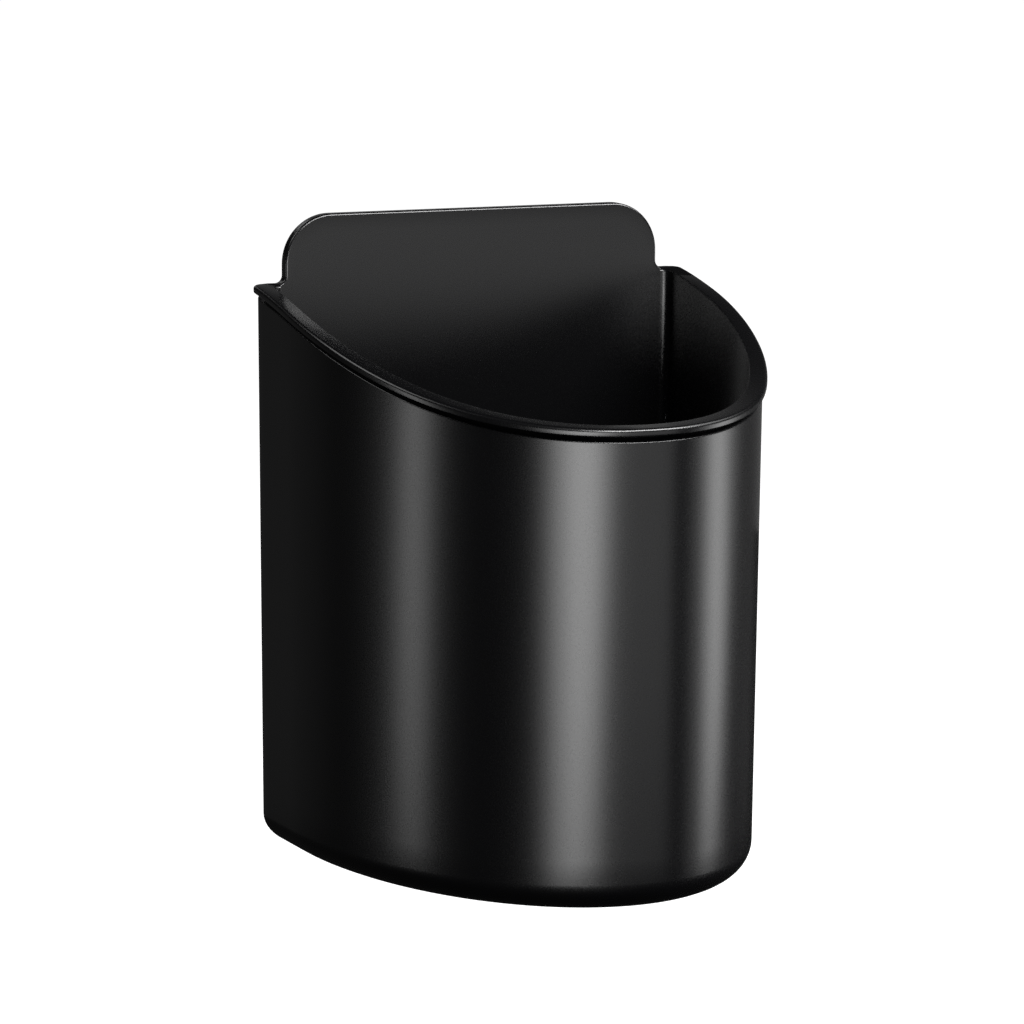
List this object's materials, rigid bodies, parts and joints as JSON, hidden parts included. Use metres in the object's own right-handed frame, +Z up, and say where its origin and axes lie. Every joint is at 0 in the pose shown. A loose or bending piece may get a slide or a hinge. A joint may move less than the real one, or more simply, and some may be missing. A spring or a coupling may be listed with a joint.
{
  "type": "desk clamp cup holder",
  "caption": "D-shaped moulded cup holder with a slanted rim and raised back, screwed to a steel C-clamp with a padded jaw, threaded spindle and lobed knob for a desk edge.",
  "frame": {"origin": "where the clamp spindle's axis meets the desk's top surface, at the middle of the spindle's circle on the underside of the upper jaw pad", "axes": "+Z up along the spindle, -Y towards the nose of the cup body and away from the desk, +X across the holder"},
  "size_m": [0.0954, 0.1404, 0.128],
  "materials": {
    "black_moulded_abs": "satin moulded black",
    "dark_silicone": "matte silicone",
    "black_powder_coat": "fine-textured powder coat",
    "black_rubber": "matte moulded rubber",
    "grey_foam": "closed-cell foam",
    "zinc_screws": "zinc plated",
    "turned_brass": "turned",
    "spring_steel": "phosphated spring steel",
    "zinc_spindle": "rolled thread, zinc plated",
    "turned_steel": "turned, zinc plated",
    "black_nylon": "moulded nylon"
  },
  "bodies": {
    "holder": {"cup_body": "black_moulded_abs", "floor_mat": "dark_silicone", "clamp_bracket": "black_powder_coat", "upper_jaw_pad": "black_rubber", "edge_pad": "grey_foam", "body_screws": "zinc_screws", "screw_washers": "zinc_screws", "clinch_nuts": "zinc_screws", "thread_bush": "turned_brass", "bush_washer": "spring_steel"},
    "foot": {"pressure_foot": "turned_steel", "foot_pad": "black_rubber"},
    "screw": {"spindle": "zinc_spindle", "foot_clip": "spring_steel", "knob": "black_nylon", "knob_hub": "turned_steel", "knob_pin": "spring_steel", "knob_cap": "black_nylon"}
  },
  "joints": [
    {"name": "foot_travel", "type": "slide", "parent": "holder", "child": "foot", "axis": [0, 0, 1], "range_m": [-0.025, 0.0175]},
    {"name": "screw_turn", "type": "hinge", "parent": "foot", "child": "screw", "pos_m": [0, 0, -0.06], "axis": [0, 0, 1], "range_deg": [-7200, 5040]}
  ],
  "couplings": [
    {"joint": "foot_travel", "follows": "screw_turn", "m_per_rad": 0.00019894}
  ]
}
